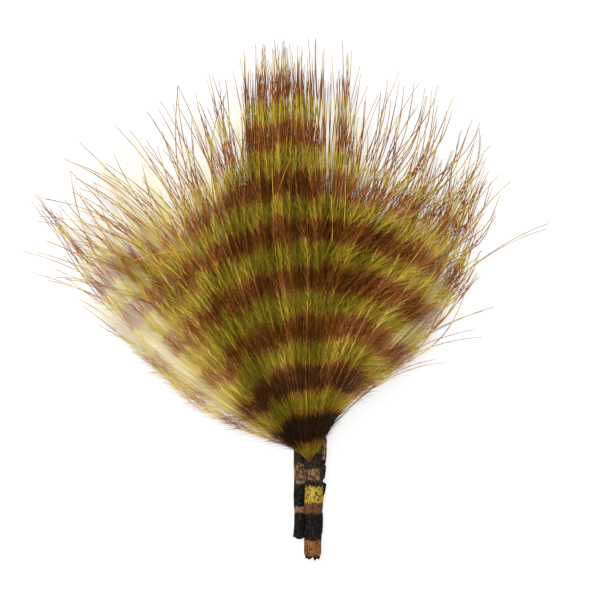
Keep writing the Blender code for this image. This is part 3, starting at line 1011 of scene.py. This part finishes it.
# %% [markdown]
# The quills are tubes of many rings. Waves that run along each tube give it the long ribs of a dry
# sheath, and a second set of waves lifts a thin layer here and there, like paper that peels off. The
# lower end is torn: its rim is jagged, and a shallow hollow shows that the quill is a tube.

# %% Shapes of the quills
QUILL_SIDES = 44
QUILL_STEP = 0.22
SHAFT_RINGS = 16
SHAFT_TIP_WIDTH = 0.5
SHAFT_RISE = 2.0
END_HOLLOW = 0.7
quill_rng = np.random.default_rng(SEED + 1)


def waves(count, around, along):
    """A smooth bumpy function of the turn round a tube and the place along it, from -1 to 1 or so."""
    turns = quill_rng.integers(*around, size=count)
    pitches = quill_rng.uniform(-along, along, size=count)
    phases = quill_rng.uniform(0.0, 2 * math.pi, size=count)

    def value(turn, place):
        return sum(np.sin(a * turn + b * place + c) for a, b, c in zip(turns, pitches, phases)) / count ** 0.5

    return value


def tube(name, stations, sides, shape):
    """A closed tube through stations of (x, y, z, half width) in mm, whose rings a function shapes."""
    turn = np.arange(sides) * (2 * math.pi / sides)
    points = []
    for index, (x, y, z, half) in enumerate(stations):
        swell, slide = shape(index, y, turn)
        points += list(zip(x + half * swell * np.cos(turn), y + slide, z + half * swell * QUILL_FLATNESS
                           * np.sin(turn)))
    faces = []
    for ring in range(len(stations) - 1):
        for side in range(sides):
            after = (side + 1) % sides
            first = ring * sides
            faces.append((first + side, first + sides + side, first + sides + after, first + after))
    last = (len(stations) - 1) * sides
    for start, order in ((0, 1), (last, -1)):
        points.append(tuple(np.mean(points[start:start + sides], axis=0)))
        for side in range(sides):
            pair = (start + side, start + (side + 1) % sides)[::order]
            faces.append((*pair, len(points) - 1))
    mesh = bpy.data.meshes.new(name)
    mesh.from_pydata([(x * MM, y * MM, z * MM) for x, y, z in points], [], faces)
    mesh.shade_smooth()
    return placed(name, mesh)


def quill_stations(quill):
    """Rings from the bottom of the torn end's hollow, over its rim and up to the tip of the shaft."""
    (butt_x, butt_y), (top_x, top_y) = quill["butt"], quill["top"]
    butt_width, top_width = quill["widths"]
    half = butt_width / 2
    low = half * QUILL_FLATNESS
    stations = [(butt_x, butt_y + END_HOLLOW, low, half * 0.55), (butt_x, butt_y + 0.1, low, half * 0.72)]
    count = round((top_y - butt_y) / QUILL_STEP)
    for share in np.linspace(0.0, 1.0, count):
        half = (butt_width + (top_width - butt_width) * share) / 2
        stations.append((butt_x + (top_x - butt_x) * share, butt_y + (top_y - butt_y) * share,
                         half * QUILL_FLATNESS, half))
    top_z = stations[-1][2]
    turn = math.radians(quill["turn"])
    for share in np.linspace(0.0, 1.0, SHAFT_RINGS + 1)[1:]:
        stations.append((top_x + quill["shaft"] * share ** 2 * math.sin(turn),
                         top_y + quill["shaft"] * share * math.cos(turn), top_z + SHAFT_RISE * share,
                         (top_width * (1 - share) + SHAFT_TIP_WIDTH * share) / 2))
    return stations


def quill_tube(side):
    """One feather's quill and shaft, with long ribs, a lifted sheath and a torn end."""
    quill = QUILLS[side]
    ribs = waves(9, (5, 14), 0.35)
    lumps = waves(7, (1, 5), 1.3)
    sheath = waves(8, (1, 7), 1.1)
    tears = waves(8, (2, 10), 0.0)
    butt_y = quill["butt"][1]

    def shape(index, y, turn):
        lifted = rise(sheath(turn, y), 0.35, 0.25)
        swell = 0.97 + 0.03 * ribs(turn, y) + 0.035 * lumps(turn, y) + 0.06 * lifted
        near_end = math.exp(-max(0.0, y - butt_y - 0.3) / 0.4)
        outer_side = np.clip(-np.cos(turn) * 1.3, -0.3, 1.0) if side == "left" else 1.0
        swell += quill["flare"] * near_end * outer_side
        jag = quill["jag"] * tears(turn, 0.0) * math.exp(-max(0.0, y - butt_y) / 0.5)
        return swell, jag * (index > 0)

    return tube(f"{side}_quill", quill_stations(quill), QUILL_SIDES, shape)


def flake_tube(name, bottom, top, widths):
    """A thin piece of sheath that has come loose: a flat tube, narrow at both ends."""
    ripples = waves(7, (1, 6), 1.6)
    stations = []
    for share in np.linspace(0.0, 1.0, 24):
        half = (widths[0] + (widths[1] - widths[0]) * share) / 2
        half *= 0.3 + 0.7 * smooth(min(share, 1 - share) / 0.16)
        stations.append((*(low + (high - low) * share for low, high in zip(bottom, top)), half))
    return tube(name, stations, 18, lambda index, y, turn: (1 + 0.1 * ripples(turn, y), 0.0 * turn))


quills = {side: quill_tube(side) for side in QUILLS}
flakes = [
    flake_tube("sheath_flake", (7.7, -32.0, 2.6), (7.85, -25.9, 3.6), (0.8, 1.35)),
    flake_tube("sheath_patch", (7.25, -34.7, 2.3), (7.4, -31.2, 2.6), (1.3, 1.5)),
    flake_tube("sheath_nub", (7.65, -37.6, 1.9), (7.75, -35.0, 1.9), (0.6, 1.05)),
]


def rolled_lip(name, points, thickness):
    """A torn edge that has rolled up: a short bent rod, thinner at its ends."""
    curve = bpy.data.curves.new(name, "CURVE")
    curve.dimensions = "3D"
    curve.bevel_depth = 0.5 * thickness * MM
    curve.bevel_resolution = 3
    curve.use_fill_caps = True
    spline = curve.splines.new("NURBS")
    spline.points.add(len(points) - 1)
    spline.use_endpoint_u = True
    spline.order_u = 4
    for index, (point, place) in enumerate(zip(spline.points, points)):
        point.co = (*(value * MM for value in place), 1.0)
        point.radius = 1.0 if 0 < index < len(points) - 1 else 0.45
    rod = placed(name, curve)
    mesh = plain_mesh(rod, name)
    bpy.data.objects.remove(rod)
    return placed(name, mesh)


LIP = ((4.4, -44.7, 1.8), (3.8, -45.5, 2.1), (3.0, -45.75, 2.2), (2.15, -45.5, 1.8), (2.05, -44.5, 1.2))
flakes.append(rolled_lip("rolled_lip", LIP, 0.85))
print({piece.name: len(piece.data.polygons) for piece in (*quills.values(), *flakes)})

# %% [markdown]
# The dye sits in bands along the quill too. The edges of the bands run a little way along the
# fibres, so the place that picks the colour is moved by a noise that is stretched along the quill.
# A finer noise of the same kind darkens single fibres, and it roughens the surface as well.

# %% Paint of the quills
BLACK = (0.0045, 0.005, 0.0055)
DARK = (0.024, 0.016, 0.011)
BROWN = (0.15, 0.062, 0.020)
RUST = (0.26, 0.105, 0.030)
TAN = (0.27, 0.155, 0.065)
PINK = (0.30, 0.15, 0.085)
YELLOW_DYE = (0.47, 0.31, 0.045)
BANDS = {
    "flake": ((-51.9, BLACK), (-30.8, TAN)),
    "left": ((-51.9, BLACK), (-41.0, PINK), (-39.8, BLACK), (-35.4, TAN), (-31.4, DARK), (-28.5, TAN)),
    "right": ((-51.9, BLACK), (-49.4, RUST), (-46.3, BLACK), (-41.1, BROWN), (-39.0, YELLOW_DYE),
              (-35.8, BLACK), (-34.7, TAN), (-32.4, DARK), (-29.4, TAN)),
}
BAND_RANGE = (-52.0, -24.0)
BAND_BLUR = 0.12
RELIEF = 0.15 * MM


def paint_quill(side):
    """Bands of dye with ragged ends, dark fibres and a dry, rough surface."""
    material, tree, shader = new_material(f"{side}_quill_sheath", {"Specular IOR Level": 0.06})
    in_mm = add_node(tree, "ShaderNodeTexCoord", out="Object").scaled(1 / MM)
    along = in_mm.axis("Y")
    drip = in_mm.vectors("MULTIPLY", (2.6, 0.3, 2.6)).noise(1.0, 4.0)
    thread = in_mm.vectors("MULTIPLY", (7.0, 0.8, 7.0)).noise(1.0, 5.0)
    blots = in_mm.noise(1.7, 3.0)
    crumbs = in_mm.noise(4.5, 4.0)
    low, high = BAND_RANGE
    ragged = (drip - 0.5) * 1.6 + (blots - 0.5) * 1.4 + (crumbs - 0.5) * 0.8
    spot = (along + ragged - low) * (1 / (high - low))
    edges = []
    colours = []
    for start, colour in BANDS[side]:
        if colours:
            edges.append((start - BAND_BLUR - low) / (high - low))
            colours.append(colours[-1])
        edges.append(max(0.0, (start + BAND_BLUR - low) / (high - low)))
        colours.append(colour)
    light = thread.over(0.32, 0.66) * 0.65 + crumbs.over(0.3, 0.7) * 0.4 + 0.15
    shaded = spot.dyed(edges, colours).scaled(light)
    wear = blots * 0.9 + drip * 0.5 + crumbs * 0.3 + along.over(-36.2, -35.4) * 0.09
    worn = (wear.over(0.88, 0.98) * 0.9).mixed(shaded, (*DARK, 1.0))
    worn.into(shader, "Base Color")
    (thread * 0.4 + 0.45).into(shader, "Roughness")
    bumps = {"Strength": 1.0, "Distance": RELIEF, "Height": thread + crumbs * 0.5}
    add_node(tree, "ShaderNodeBump", None, bumps).into(shader, "Normal")
    return material


flake_paint = paint_quill("flake")
painted = [(side, piece, paint_quill(side)) for side, piece in quills.items()]
painted += [("right", piece, flake_paint) for piece in flakes]
for side, piece, material in painted:
    piece.data.materials.append(material)
    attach(piece, "root")
    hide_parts(f"{side}_feather")
print("quills painted")
